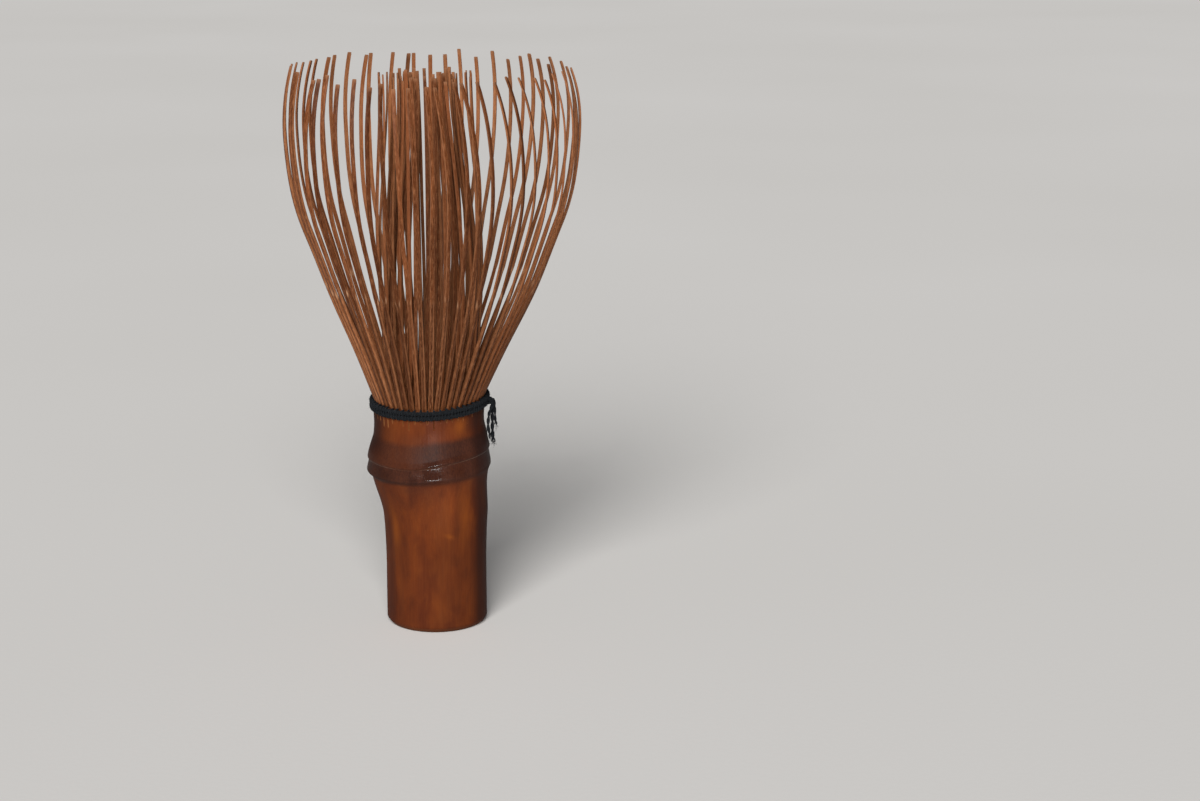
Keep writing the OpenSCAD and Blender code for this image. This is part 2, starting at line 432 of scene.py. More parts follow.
def tine_material(name, skin_dark, skin_light, cut_dark, cut_light, gloss):
    """Split bamboo: fibres run along the tine, its skin face is darker than its cut faces, tips are pale."""
    s = Shader(name)
    tone = s.attribute("tone")
    tip = s.attribute("tip")
    tick = s.attribute("tick")
    root = s.attribute("root")
    cut = s.attribute("cut")
    low = s.attribute("low")
    fibre = s.noise(s.fibre((36, 2.4, 1)), 1.0, 4.0, 0.65)
    fine = s.noise(s.fibre((110, 6.0, 1)), 1.0, 3.0, 0.6)
    drift = s.noise(s.fibre((9, 1.1, 1)), 1.0, 3.0, 0.6)
    spots = s.noise(s.fibre((24, 13, 1)), 1.0, 3.0, 0.6)
    skin = s.mix(s.span(drift, 0.32, 0.68), skin_dark, skin_light)
    skin = s.mix(s.span(fibre, 0.44, 0.62, 0.0, 0.65), skin, tuple(0.50 * c for c in skin_dark))
    skin = s.mix(s.maths("MULTIPLY", low, 0.80), skin, tuple(0.56 * c for c in skin_dark))
    side = s.mix(s.span(fibre, 0.30, 0.68), cut_dark, cut_light)
    side = s.mix(s.maths("MULTIPLY", low, 0.15), side, cut_dark)
    # cut faces take the paler colour; the uneven cut marks on the two bevels paint a highlight on one edge of
    # each tine and shade on the other
    base = s.mix(cut, skin, side)
    base = s.mix(s.span(fine, 0.50, 0.66, 0.0, 0.72), base, cut_light)
    base = s.mix(s.span(spots, 0.56, 0.72, 0.0, 0.55), base, tuple(0.4 * c for c in skin_dark))
    base = s.mix(s.span(tone, 0.5, 0.0, 0.0, 0.55), base, tuple(0.55 * c for c in skin_dark))
    base = s.mix(s.span(tone, 0.5, 1.0, 0.0, 0.55), base, tuple(1.25 * c for c in skin_light))
    base = s.mix(s.maths("MULTIPLY", root, 0.22), base, tuple(0.75 * c for c in skin_dark))
    base = s.mix(s.maths("MULTIPLY", tick, cut), base, (0.52, 0.28, 0.155))
    base = s.mix(s.maths("MULTIPLY", tip, s.span(fine, 0.2, 0.6, 0.3, 0.8)), base, (0.30, 0.140, 0.072))
    relief = s.bump(fibre, 0.00004, 0.7, s.bump(fine, 0.000012, 0.6))
    return s.set(
        Base_Color=base, Roughness=s.span(fibre, 0.3, 0.7, gloss, gloss + 0.16), Normal=relief,
        Specular_IOR_Level=0.09,
    )


def thread_material():
    """Blue-black cotton: twisted strands with a matt, slightly furry surface."""
    s = Shader("black_thread_cotton")
    strand = s.noise(s.fibre((26, 9, 1)), 1.0, 3.0, 0.6)
    lint = s.noise(s.solid((5200, 5200, 5200)), 1.0, 2.0, 0.6)
    fade = s.noise(s.solid((320, 320, 320)), 1.0, 2.0, 0.5)
    base = s.mix(s.span(strand, 0.35, 0.68), (0.0020, 0.0024, 0.0030), (0.0125, 0.0150, 0.0180))
    base = s.mix(s.span(fade, 0.50, 0.75, 0.0, 0.40), base, (0.014, 0.013, 0.012))
    base = s.mix(s.span(lint, 0.62, 0.82, 0.0, 0.6), base, (0.042, 0.046, 0.052))
    relief = s.bump(strand, 0.00010, 0.9, s.bump(lint, 0.00003, 0.6))
    return s.set(
        Base_Color=base, Roughness=s.span(strand, 0.3, 0.7, 0.72, 0.92), Normal=relief,
        Specular_IOR_Level=0.12, Sheen_Weight=0.06, Sheen_Roughness=0.5, Sheen_Tint=(0.55, 0.62, 0.75, 1.0),
    )


def floor_material():
    """Matt pale paper."""
    s = Shader("pale_floor")
    grain = s.noise(s.solid((900, 900, 900)), 1.0, 3.0, 0.6)
    cloud = s.noise(s.solid((3, 3, 3)), 1.0, 2.0, 0.5)
    base = s.mix(s.span(cloud, 0.3, 0.7), (0.735, 0.722, 0.705), (0.765, 0.753, 0.740))
    return s.set(
        Base_Color=base, Roughness=0.85, Normal=s.bump(grain, 0.00008, 0.25), Specular_IOR_Level=0.25,
    )


# ---- the culm ----
COLS_PER_TINE = 12
COLS = OUTER_COUNT * COLS_PER_TINE
SCAR_Z = 36.0
RIDGE_Z = 33.1
LEVEL_BELOW = 18.0  # the node's tilt is between these two heights
LEVEL_ABOVE = 44.5
LEVEL_END = 60.0
FOOT_ROWS = 4  # rings that round the foot under the skin
RIM_DARK = 0.6


def front_angle(angle):
    """Angle from the front, positive to the right, -180 to 180 degrees."""
    return (np.degrees(angle) + 90 + 180) % 360 - 180


def scar_shift(angle):
    """The sheath scar climbs to the right and dips just left of the front."""
    a = front_angle(angle)
    return np.sin(np.radians(a)) + 0.35 - 0.62 * bell(a, -14, 30)


def ridge_shift(angle):
    """The ridge under the scar climbs less and is low at the front."""
    a = np.radians(front_angle(angle))
    return 0.6 * np.sin(a) - 0.32 * np.cos(a)


def level(angle, z):
    """Height in the untilted culm of a point at this angle and height."""
    out = np.empty((len(z), len(angle)))
    low = RIDGE_Z + ridge_shift(angle)
    high = SCAR_Z + scar_shift(angle)
    for c in range(len(angle)):
        here = [0, LEVEL_BELOW, low[c], high[c], LEVEL_ABOVE, LEVEL_END]
        out[:, c] = np.interp(z, here, [0, LEVEL_BELOW, RIDGE_Z, SCAR_Z, LEVEL_ABOVE, LEVEL_END])
    return out


def culm_radius(h):
    """Outside radius by height."""
    grip = [(0.0, 10.50), (5.7, 10.50), (12.7, 10.47), (19.7, 10.64), (24.0, 10.92)]
    swelling = [(26.8, 11.22), (29.2, 11.58), (31.2, 11.90), (32.0, 12.04), (32.5, 12.19)]
    ridge = [(33.0, 12.47), (33.35, 12.72), (33.6, 12.80), (33.85, 12.79), (34.1, 12.75), (34.5, 12.665)]
    scar = [(35.1, 12.525), (35.65, 12.41), (35.85, 12.38), (36.0, 12.37), (36.15, 12.48)]
    lip = [(36.3, 12.59), (36.45, 12.61), (36.6, 12.59), (36.8, 12.55), (37.2, 12.46)]
    neck = [(37.8, 12.32), (38.4, 12.19), (39.6, 11.94), (41.2, 11.66)]
    neck += [(43.0, 11.53), (45.2, 11.62), (47.0, 11.66)]
    heights, radii = zip(*(grip + swelling + ridge + scar + lip + neck))
    return curve(h, heights, radii)


def culm_relief(rng, angle, z, h):
    """Outside radius of the culm with its relief, how open each split is, and two ring noises used again."""
    z_grid = np.repeat(z[:, None], COLS, 1)
    turn = np.sin(np.radians(front_angle(angle)))
    left = np.maximum(0, -turn)
    right = np.maximum(0, turn)
    radius = culm_radius(h)
    radius += (0.42 * left - 0.25 * right) * smooth((h - 32.4) / 1.4) * (1 - smooth((h - 37.2) / 4))
    radius -= 0.30 * right * smooth((h - 39.5) / 3)
    radius += 0.07 * ring_noise(rng, angle, [2, 3, 5]) + 0.022 * ring_noise(rng, angle, [9, 14, 23, 31])
    grooves = ring_noise(rng, angle, [61, 83, 97, 139, 171], 0.95)
    radius += 0.011 * grooves * (1 - hump(h, 34, 6))
    wave = ring_noise(rng, angle, [4, 7, 11])
    radius += 0.06 * wave * hump(h, 34.6, 2.6) + 0.05 * ring_noise(rng, angle, [6, 13]) * hump(h, 37.5, 4)
    # small pits round the node, each two rows high and three columns wide
    pits = rng.normal(0, 1, (len(z) // 2 + 1, COLS // 3))
    pits = np.repeat(np.repeat(pits, 2, 0)[: len(z)], 3, 1)[:, :COLS]
    pits = (pits + np.roll(pits, 1, 1) + np.roll(pits, 2, 1) + np.roll(pits, 1, 0)) / 4
    radius += 0.008 * pits * (0.8 * hump(h, 34.6, 1.6) + 0.35 * hump(h, 38.0, 3.2))
    kerf = np.zeros_like(h)
    for g in range(OUTER_COUNT):
        c = g * COLS_PER_TINE
        frayed = -80 < front_angle(angle[c]) < -12
        run = rng.uniform(0.7, 1.5) if rng.random() < (0.4 if frayed else 0.75) else rng.uniform(1.5, 2.6)
        open_ = smooth((z - (46.0 - run)) / 0.7)
        radius[:, c] -= 0.30 * open_
        wide = 0.7 * rng.uniform(0.1, 1.0) ** (0.7 if frayed else 1.8)
        kerf[:, c] = np.maximum(kerf[:, c], 0.35 * open_)
        for side in (-1, 1):
            near = (c + side) % COLS
            kerf[:, near] = np.maximum(kerf[:, near], wide * open_)
    # the skin steps in under the thread, and is rounded at the foot
    radius -= (radius - SEAT_R) * smooth((z_grid - 45.75) / 0.4)
    radius -= 0.12 * np.clip(1.0 - z, 0, 1)[:, None]
    return radius, kerf, wave, grooves


def skin_marks(rng, angle, z, h, wave):
    """What the skin's material reads at each point, apart from the splits."""
    z_grid = np.repeat(z[:, None], COLS, 1)
    a = front_angle(angle)[None, :]
    wave = wave[None, :]
    # the dark band reaches up and down from the scar, and is deepest at the right above it
    deeper = 0.30 * smooth((a + 18) / 30) * (1 - smooth((a - 150) / 30))
    fainter = 0.10 * smooth((a + 5) / 40) * (1 - smooth((a - 60) / 20))
    above = (1 - smooth((h - 40.0) / 2.2)) * (0.70 + deeper)
    below = smooth((h - 31.5) / 2.2) * (0.94 - fainter)
    band = np.where(h > SCAR_Z, above, below)
    cloudy = smooth((h - 29) / 3) * (1 - smooth((h - 41) / 4)) * (0.6 + 0.4 * wave)
    band = np.maximum(band, 0.35 * cloudy)
    broken = np.clip(0.55 + 0.5 * ring_noise(rng, angle, [3, 8, 15])[None, :], 0.15, 1)
    scar = 0.75 * hump(h, SCAR_Z + 0.06, 0.12) * broken
    # pale patches: strength, angle and its width, height and its width
    patch = 0
    for strength, turn, wide, height, tall in (
        (0.46, 35, 6.5, 43.9, 1.5),
        (0.42, -49, 7, 21, 4),
        (0.28, 35, 8, 25, 6),
    ):
        patch = patch + strength * bell(a, turn, wide) * bell(z_grid, height, tall)
    patch = patch + 0.50 * bell(a, 17, 5) * bell(z_grid, 20.9 - 0.06 * (a - 17), 0.45)
    lips = smooth((h - 33.5) / 0.3) * (1 - smooth((h - 37.2) / 1.2)) * (0.30 + 0.70 * bell(a, 5, 32))
    satin = np.maximum(lips, 0.60 * bell(a, 3, 24))
    rim = RIM_DARK * smooth((0.9 - z_grid) / 0.9)
    # darker down the right side, and down the left side most at the neck: partly uneven smoking, partly
    # painted shade where the light falls off round the culm
    stain_and_side_shade = smooth((a - 42) / 18) * (1 - smooth((a - 118) / 40)) * (0.85 + 0.15 * wave)
    left = 0.25 + 0.72 * smooth((h - 36) / 4)
    stain_and_side_shade = stain_and_side_shade + left * smooth((-a - 34) / 34) * (1 - smooth((-a - 130) / 30))
    return {"node_band": band, "scar": scar, "patch": patch, "rim": rim, "stain_and_side_shade": stain_and_side_shade, "satin": satin}


def culm_insides():
    """Radius and height of the rings inside the crown and cup, and of those at the foot and in the bore."""
    cup = [(0.25, CUP_FLOOR), (2.5, CUP_FLOOR + 0.05), (5.0, CUP_FLOOR + 0.15), (7.4, CUP_FLOOR + 0.45)]
    cup += [(8.6, CUP_FLOOR + 1.0), (9.0, CUP_FLOOR + 2.0)]
    cup += [(CUP_R, z) for z in np.linspace(CUP_FLOOR + 3.4, 47.2, 14)]
    cup += [(CUP_R + 0.10, 47.5), (CHANNEL_IN - 0.10, 47.5), (CHANNEL_IN, 47.3)]
    cup += [(CHANNEL_IN, z) for z in (46.9, 46.5, 46.1, CHANNEL_FLOOR + 0.1)]
    cup += [(CHANNEL_IN + 0.1, CHANNEL_FLOOR), (CHANNEL_OUT - 0.1, CHANNEL_FLOOR)]
    cup += [(CHANNEL_OUT, CHANNEL_FLOOR + 0.1), (CHANNEL_OUT, 46.2), (CHANNEL_OUT + 0.08, SKIN_TOP + 0.1)]
    foot = [(GRIP_R - 0.10, 0.62), (GRIP_R - 0.26, 0.30), (GRIP_R - 0.48, 0.10), (GRIP_R - 0.75, 0.0)]
    foot += [(9.0, 0.0), (8.4, 0.0), (BORE_R + 0.3, 0.0), (BORE_R + 0.08, 0.06), (BORE_R, 0.22)]
    foot += [(BORE_R, z) for z in np.linspace(1.0, BORE_TOP - 1.6, 26)]
    foot += [(BORE_R - 0.25, BORE_TOP - 0.7), (BORE_R - 1.0, BORE_TOP - 0.2)]
    foot += [(4.5, BORE_TOP - 0.02), (2.0, BORE_TOP), (0.25, BORE_TOP)]
    return cup, foot


def make_culm(skin, sawn):
    rng = np.random.default_rng(SEED)
    angle = np.arange(COLS) * 2 * math.pi / COLS
    z = np.concatenate([
        np.linspace(SKIN_TOP, 42.5, 40, endpoint=False),
        np.linspace(42.5, 38.5, 16, endpoint=False),
        np.linspace(38.5, 30.0, 80, endpoint=False),
        np.linspace(30.0, 1.0, 64),
    ])
    h = level(angle, z)
    radius, kerf, wave, grooves = culm_relief(rng, angle, z, h)
    marks = {"kerf": kerf, **skin_marks(rng, angle, z, h, wave)}

    def rings(profile, wobble=0.02):
        r, height = np.array(profile, float).T
        noise = wobble * (ring_noise(rng, angle, [2, 3, 5, 8]) + 0.5 * grooves)
        r = r[:, None] + noise[None, :]
        return np.stack([r * np.cos(angle), r * np.sin(angle), np.repeat(height[:, None], COLS, 1)], -1)

    cup, foot = culm_insides()
    top = rings(cup)
    side = np.stack([radius * np.cos(angle), radius * np.sin(angle), np.repeat(z[:, None], COLS, 1)], -1)
    points = np.concatenate([top, side, rings(foot)])
    rows = len(points)
    first_skin = len(top)
    last_skin = first_skin + len(z)
    for name, values in marks.items():
        marks[name] = np.zeros((rows, COLS))
        marks[name][first_skin:last_skin] = values
    marks["rim"][last_skin : last_skin + FOOT_ROWS] = RIM_DARK
    b = Build()
    start = b.grid(points, np.arange(COLS + 1) / COLS, np.arange(rows) / rows, marks)
    slots = np.ones((rows - 1, COLS), int)
    slots[first_skin - 1 : last_skin + FOOT_ROWS - 2] = 0
    b.slots = slots.reshape(-1).tolist()
    b.fan(start, COLS, (0, 0, CUP_FLOOR), True, 1)
    b.fan(start + (rows - 1) * COLS, COLS, (0, 0, BORE_TOP), False, 1)
    return b.object("culm", [skin, sawn], 50)


# ---- tines ----
# How much each face round a tine takes the cut colour, 1, or the skin colour, 0: inner half, side, bevel,
# skin four times, bevel, side, inner half. The two bevels and the two sides differ: a painted highlight on
# one edge of each tine, painted shade on the other.
TINE_CUT_AND_EDGE_LIGHT = np.array([1.0, 0.9, 1.0, 0.1, 0.0, 0.0, 0.1, 0.5, 0.7, 1.0])


def sweep(b, path, angle, twist, width, thick, chamfer, crown, marks, grain):
    """One tine: a strip with a rounded skin face and bevelled edges, swept along path."""
    n = len(path)
    t = unit(np.gradient(path, axis=0))
    s = np.stack([-np.sin(angle), np.cos(angle), np.zeros(n)], -1)
    s = unit(s - t * np.sum(s * t, -1, keepdims=True))
    o = np.cross(s, t)
    c, d = np.cos(twist)[:, None], np.sin(twist)[:, None]
    s, o = s * c + o * d, o * c - s * d
    w = width / 2
    h = thick / 2
    edge = w - chamfer
    flat = edge - np.minimum(chamfer * 0.5 + 0.03, edge)
    zero = np.zeros(n)
    # the section, from the inner left corner over the skin face to the middle of the inner face
    side = [-w * 0.94, -w, -edge, -flat, zero, flat, edge, w, w * 0.94, zero]
    out = [-h, h - chamfer, h, h + crown * 0.6, h + crown, h + crown * 0.6, h, h - chamfer, -h, -h * 1.02]
    side = np.stack(side, 1)[:, ::-1]
    out = np.stack(out, 1)[:, ::-1]
    points = path[:, None, :] + side[..., None] * s[:, None, :] + out[..., None] * o[:, None, :]
    steps = np.linalg.norm(np.diff(np.concatenate([points, points[:, :1]], 1), axis=1), axis=-1)
    across = np.concatenate([np.zeros((n, 1)), np.cumsum(steps, 1)], 1) / 10 + grain
    along = np.concatenate([[0], np.cumsum(np.linalg.norm(np.diff(path, axis=0), axis=1))]) / 10 + grain * 7
    cols = points.shape[1]
    full = {k: np.repeat(v[:, None], cols, 1) for k, v in marks.items()}
    # the cut marks also paint a highlight on one edge of each tine and shade on the other
    first = b.grid(points, across, along, full, np.repeat(TINE_CUT_AND_EDGE_LIGHT[None, :], n - 1, 0))
    b.cap(first, cols, True, (across[0, 0], along[0]))
    b.cap(first + (n - 1) * cols, cols, False, (across[-1, 0], along[-1]))


def outer_line():
    """Centre line of an outer tine at rest: straight flare from the lacing, then one arc over the belly."""
    tip_half = OUTER_TIP_T / 2
    belly_z = TIP_Z - BELLY_DROP
    start_z = FLEX_Z + 0.1
    reach = BELLY_R - tip_half - OUTER_ROOT_R
    rise = belly_z - start_z
    bend = BELLY_BEND * (reach ** 2 + rise ** 2) / (2 * reach)
    centre = np.array([BELLY_R - tip_half - bend, belly_z])
    d = centre - np.array([OUTER_ROOT_R, start_z])
    flare = math.atan2(d[1], d[0]) - math.asin(bend / np.linalg.norm(d))
    first = flare - math.pi / 2
    last = math.asin(BELLY_DROP / bend)
    a = np.linspace(first, last, 240)
    arc = np.stack([centre[0] + bend * np.cos(a), centre[1] + bend * np.sin(a)], -1)
    straight = np.linspace([OUTER_ROOT_R, start_z], arc[0], 60, endpoint=False)
    return np.concatenate([straight, arc])


def heights(low, high, marks_at):
    """Heights of the rings: close together at the root, at the bevel's end and at the tip."""
    return np.concatenate([
        np.linspace(low, low + 4, 10, endpoint=False),
        np.linspace(low + 4, marks_at - 2, 9, endpoint=False),
        np.linspace(marks_at - 2, marks_at + 2, 12, endpoint=False),
        np.linspace(marks_at + 2, high - 6, 24, endpoint=False),
        np.linspace(high - 6, high - 0.35, 9, endpoint=False),
        [high - 0.30, high - 0.12, high],
    ])


def blunt(size, z, high, share):
    """The last ring of a tine is a little smaller."""
    return np.where(z > high - 0.2, size * share, size)


def climb(z, high):
    """0 at the lacing, 1 at the tip."""
    return np.clip((z - LEAVE_Z) / (high - LEAVE_Z), 0, 1)


def make_outer(material):
    rng = np.random.default_rng(SEED + 1)
    line = outer_line()
    n = OUTER_COUNT
    tick_z = BEVEL_END_Z + rng.normal(0, 0.8, n)
    tick_show = rng.uniform(0.15, 0.95, n)
    tip_turn = rng.normal(0, 0.62, n)
    mid_turn = rng.normal(0, 0.28, n)
    tip_out = rng.normal(0, 0.5, n)
    tip_up = rng.normal(-0.25, 0.55, n)
    twist_tip = rng.normal(0, 0.16, n)
    tone = np.clip(rng.normal(0.5, 0.27, n), 0, 1)
    width = OUTER_W * rng.uniform(0.93, 1.06, n)
    # a few neighbours lean together
    for a in rng.choice(n, 6, replace=False):
        tip_turn[a] += PAIR_LEAN
        tip_turn[(a + 1) % n] -= PAIR_LEAN
        tip_out[(a + 1) % n] = tip_out[a] + 0.25
    groups = []
    for g in range(OUTER_GROUPS):
        b = Build()
        for k in range(OUTER_PER_GROUP):
            i = g * OUTER_PER_GROUP + k
            phi = (i + 0.5) * PITCH
            a = front_angle(phi)
            right = math.cos(phi)
            high = TIP_Z + tip_up[i] + 0.4 - 1.4 * max(0, math.cos(phi + math.radians(75)))
            z = heights(46.35, high, tick_z[i])
            u = climb(z, high)
            # the rest line stretched to this tine's own tip, and seated on the crown below the lacing
            stretch = (TIP_Z - LEAVE_Z) / (high - LEAVE_Z)
            r = np.interp(LEAVE_Z + (z - LEAVE_Z) * stretch, line[:, 1], line[:, 0])
            r = np.where(z < LEAVE_Z, OUTER_ROOT_R - 0.27 * smooth((LEAVE_Z - z) / 0.7), r)
            r = r + tip_out[i] * u ** 2 + 0.5 * bell(z, 70, 9) * (z > LEAVE_Z)
            r = r - (0.75 + 0.3 * right) * np.clip((z - 102) / 14, 0, 1.1) ** 2
            angle = phi + (mid_turn[i] * np.sin(math.pi * u) + tip_turn[i] * u ** 2.2) / r
            # the front right tines drift left, and the front ones lean back
            drift = 4.6 * bell(a, 30, 42) * np.clip((z - 76) / 40, 0, 1.1) ** 2
            x = r * np.cos(angle) - drift + 0.75 * smooth((z - 82) / 20)
            x = x - 0.95 * max(0.0, right) * bell(z, 100, 10)
            front = max(0.0, math.cos(phi + math.radians(80)))
            y = r * np.sin(angle) + 4.6 * front ** 1.5 * np.clip((z - 80) / 36, 0, 1) ** 3
            low = 1 - smooth((z - tick_z[i] + 0.8) / 1.8)
            chamfer = 0.06 + 0.19 * low - 0.03 * u
            wide = width[i] * (1 - 0.07 * u) * (1 + 0.20 * (1 - smooth((z - 47.5) / 6)))
            thick = OUTER_ROOT_T - (OUTER_ROOT_T - OUTER_BLADE_T) * smooth((z - 52) / 22)
            thick = blunt(thick - (OUTER_BLADE_T - OUTER_END_T) * u, z, high, 0.9)
            thick = np.where(z < 48.2, np.minimum(thick, 0.66), thick)
            wide = blunt(wide, z, high, 0.93)
            marks = {
                "tone": np.full(len(z), tone[i]),
                "tip": smooth((z - high + 0.75) / 0.7),
                "tick": tick_show[i] * hump(z, tick_z[i] + 0.2, 1.1),
                "root": 1 - smooth((z - 48) / 12),
                "low": low,
            }
            twist = twist_tip[i] * u - 0.5 * bell(a, 0, 85) * smooth((z - 60) / 30)
            path = np.stack([x, y, z], -1)
            crown = 0.05 * (1 - 0.5 * u)
            sweep(b, path, angle, twist, wide, thick, chamfer, crown, marks, rng.uniform(0, 40))
        groups.append(b.object(f"split_outer_{g + 1:02d}", [material], 35))
    return groups


def make_inner(material):
    rng = np.random.default_rng(SEED + 2)
    n = INNER_COUNT
    tip_r = np.where(np.arange(n) % 2 == 0, 8.6, 5.7) + rng.normal(0, 0.45, n)
    turn = rng.normal(0, 0.10, n)
    bow = rng.normal(1.3, 0.30, n)
    phi = (np.arange(n) + 0.5) * 2 * math.pi / n
    # each tine leans towards the nearest of 13 clumps, and the bunch parts at the front
    clumps = rng.choice(n, 13, replace=False)
    target = np.array([clumps[np.argmin(np.abs((clumps - i + n / 2) % n - n / 2))] for i in range(n)])
    pull = ((target - np.arange(n) + n / 2) % n - n / 2) * 2 * math.pi / n
    part = front_angle(phi)
    turn += 0.45 * pull + 0.13 * np.sign(part) * bell(part, 0, 35)
    tip_z = INNER_TIP_Z + rng.normal(0.1, 0.7, n)
    tone = np.clip(rng.normal(0.48, 0.30, n), 0, 1)
    groups = []
    for g in range(INNER_GROUPS):
        b = Build()
        for k in range(INNER_PER_GROUP):
            i = g * INNER_PER_GROUP + k
            high = tip_z[i]
            z = heights(46.9, high, 62.0)
            u = climb(z, high)
            r = INNER_ROOT_R + (tip_r[i] - INNER_ROOT_R) * (1 - np.cos(math.pi * u)) / 2
            r = r + bow[i] * np.sin(math.pi * u) ** 2
            angle = phi[i] + turn[i] * u ** 1.6
            path = np.stack([r * np.cos(angle) - 0.9 * u ** 2, r * np.sin(angle), z], -1)
            wide = INNER_W + 0.30 * (1 - smooth((z - 47.5) / 6)) - 0.05 * u
            thick = blunt(INNER_ROOT_T + (INNER_TIP_T - INNER_ROOT_T) * u, z, high, 0.9)
            marks = {
                "tone": np.full(len(z), tone[i]),
                "tip": smooth((z - high + 0.7) / 0.7),
                "tick": np.zeros(len(z)),
                "root": 1 - smooth((z - 48) / 10),
                "low": 0.5 * (1 - smooth((z - 70) / 20)),
            }
            chamfer = np.full(len(z), 0.06)
            crown = np.full(len(z), 0.02)
            twist = rng.normal(0, 0.25) * u
            sweep(b, path, angle, twist, wide, thick, chamfer, crown, marks, rng.uniform(0, 40))
        groups.append(b.object(f"split_inner_{g + 1}", [material], 35))
    return groups


# ---- thread ----
def tube(b, path, radius, sides=7, closed=False, turn=0.0):
    """A round strand along path; radius is one number or one for each point."""
    n = len(path)
    if closed:
        t = unit(np.roll(path, -1, 0) - np.roll(path, 1, 0))
    else:
        t = unit(np.gradient(path, axis=0))
    up = np.array([0.0, 0.0, 1.0])
    if not closed and abs(np.mean(t[:, 2])) > 0.7:
        up = np.array([path[0][0], path[0][1], 0.0])
        up = up / np.linalg.norm(up)
    a = unit(np.cross(t, up))
    c = np.cross(a, t)
    spin = np.arange(sides) * 2 * math.pi / sides
    s = np.asarray(radius, float) * np.ones(n)
    along = np.concatenate([[0], np.cumsum(np.linalg.norm(np.diff(path, axis=0), axis=1))]) / 10
    phase = spin[None, :] + turn * along[:, None]
    ring = a[:, None, :] * np.cos(phase)[..., None] + c[:, None, :] * np.sin(phase)[..., None]
    points = path[:, None, :] + ring * s[:, None, None]
    points = points[:, ::-1]
    first = b.grid(points, np.arange(sides + 1) / sides, along, closed=closed)
    if not closed:
        b.cap(first, sides, True, (0, 0))
        b.cap(first + (n - 1) * sides, sides, False, (0, 0))


def polar(r, angle, z):
    return np.stack([r * np.cos(angle), r * np.sin(angle), z * np.ones_like(angle)], -1)


def fuzz(b, rng, count, r, spread, low, high):
    """Loose cotton fibres standing off the thread."""
    for _ in range(count):
        a = rng.uniform(0, 2 * math.pi)
        z = rng.uniform(low, high)
        length = rng.uniform(0.35, 1.1)
        turn = rng.uniform(-1, 1, 3)
        out = np.array([math.cos(a), math.sin(a), 0])
        tangent = np.array([-math.sin(a), math.cos(a), 0])
        t = np.linspace(0, 1, 5)[:, None]
        start = out * (r + rng.uniform(-spread, spread * 0.3)) + np.array([0, 0, z])
        path = start + length * t * (0.35 * out + turn[0] * tangent + 0.5 * turn[1] * np.array([0, 0, 1]))
        path = path + length * 0.3 * t * t * (turn[2] * np.array([0, 0, 1]) + 0.2 * out)
        tube(b, path, np.linspace(0.016, 0.007, 5), 3)


def round_of_thread(name, node, material, seed, lint):
    """One turn of three-ply thread that swells over each tine."""
    rng = np.random.default_rng(seed)
    low, high = node_box(node)
    d = high[2] - low[2]
    radius = (high[0] - low[0]) / 2 - d / 2
    z = (low[2] + high[2]) / 2
    b = Build()
    steps = OUTER_COUNT * 12
    a = np.arange(steps) * 2 * math.pi / steps
    twists = 46
    wave = 0.035 * np.cos(OUTER_COUNT * a) + 0.03 * ring_noise(rng, a, [5, 9, 17])
    rise = 0.04 * ring_noise(rng, a, [3, 7, 12, 19])
    for ply in range(3):
        spin = twists * a + ply * 2 * math.pi / 3
        path = polar(radius + wave + 0.225 * np.cos(spin), a, z + rise + 0.225 * np.sin(spin))
        tube(b, path, 0.225, 7, True)
    if lint:
        fuzz(b, rng, lint, radius, 0.4, z - 0.4, z + 0.4)
    return b.object(name, [material])


def make_stitches(material):
    """Loops that tie the rounds down at every gap between tines, slanting over them."""
    rng = np.random.default_rng(SEED + 5)
    low = node_box("lacing_lower_round")[0][2]
    high = node_box("lacing_upper_round")[1][2]
    out = node_box("lacing_upper_round")[1][0]
    b = Build()
    for g in range(OUTER_COUNT):
        base = g * PITCH
        for side in (-1, 1):
            tilt = side * PITCH * rng.uniform(0.30, 0.46)
            lift = rng.uniform(-0.05, 0.18)
            over = [(10.75, high - 0.45), (11.25, high + 0.02 + lift), (11.85, high + 0.06 + lift)]
            down = [(out - 0.04, high - 0.15), (out + 0.03, high - 0.50), (out - 0.08, (low + high) / 2)]
            under = [(out + 0.03, low + 0.45), (out - 0.10, low + 0.12)]
            back = [(11.75, low + 0.02), (11.45, low + 0.20)]
            r, z = np.array(over + down + under + back).T
            t = np.linspace(0, 1, len(r))
            fine = np.linspace(0, 1, 26)
            angle = base + tilt * smooth(fine) + rng.uniform(-0.04, 0.04) * PITCH
            path = polar(curve(fine, t, r), angle, curve(fine, t, z))
            tube(b, path, 0.135 * rng.uniform(0.9, 1.15), 6, turn=3)
    fuzz(b, rng, 170, out + 0.05, 0.2, low - 0.1, high + 0.15)
    return b.object("lacing_stitches", [material])


def strand(b, rng, points, radius, plies=2, turns=1.5, fray=0):
    """A twisted free end: plies wind round the line through points, and open into fibres at its end."""
    points = np.asarray(points, float)
    t = np.linspace(0, 1, len(points))
    fine = np.linspace(0, 1, 40)
    line = np.stack([curve(fine, t, points[:, k]) for k in range(3)], -1)
    direction = unit(np.gradient(line, axis=0))
    side = unit(np.cross(direction, np.array([0.3, 0.9, 0.2])))
    other = np.cross(direction, side)
    for p in range(plies):
        spin = fine * turns * 2 * math.pi + p * 2 * math.pi / plies
        offset = radius * 0.55 * (side * np.cos(spin)[:, None] + other * np.sin(spin)[:, None])
        open_up = 1 + 0.6 * smooth((fine - 0.85) / 0.15)[:, None]
        tube(b, line + offset * open_up, radius * 0.58 * (1 - 0.35 * smooth((fine - 0.9) / 0.1)), 6)
    for _ in range(fray):
        start = line[-1] + rng.normal(0, radius * 0.45, 3) - direction[-1] * rng.uniform(0, 0.6)
        bend = rng.normal(0, 0.35, 3)
        s = np.linspace(0, 1, 5)[:, None]
        path = start + direction[-1] * s * rng.uniform(0.4, 1.1) + bend * s * s
        tube(b, path, np.linspace(0.035, 0.012, 5), 4)


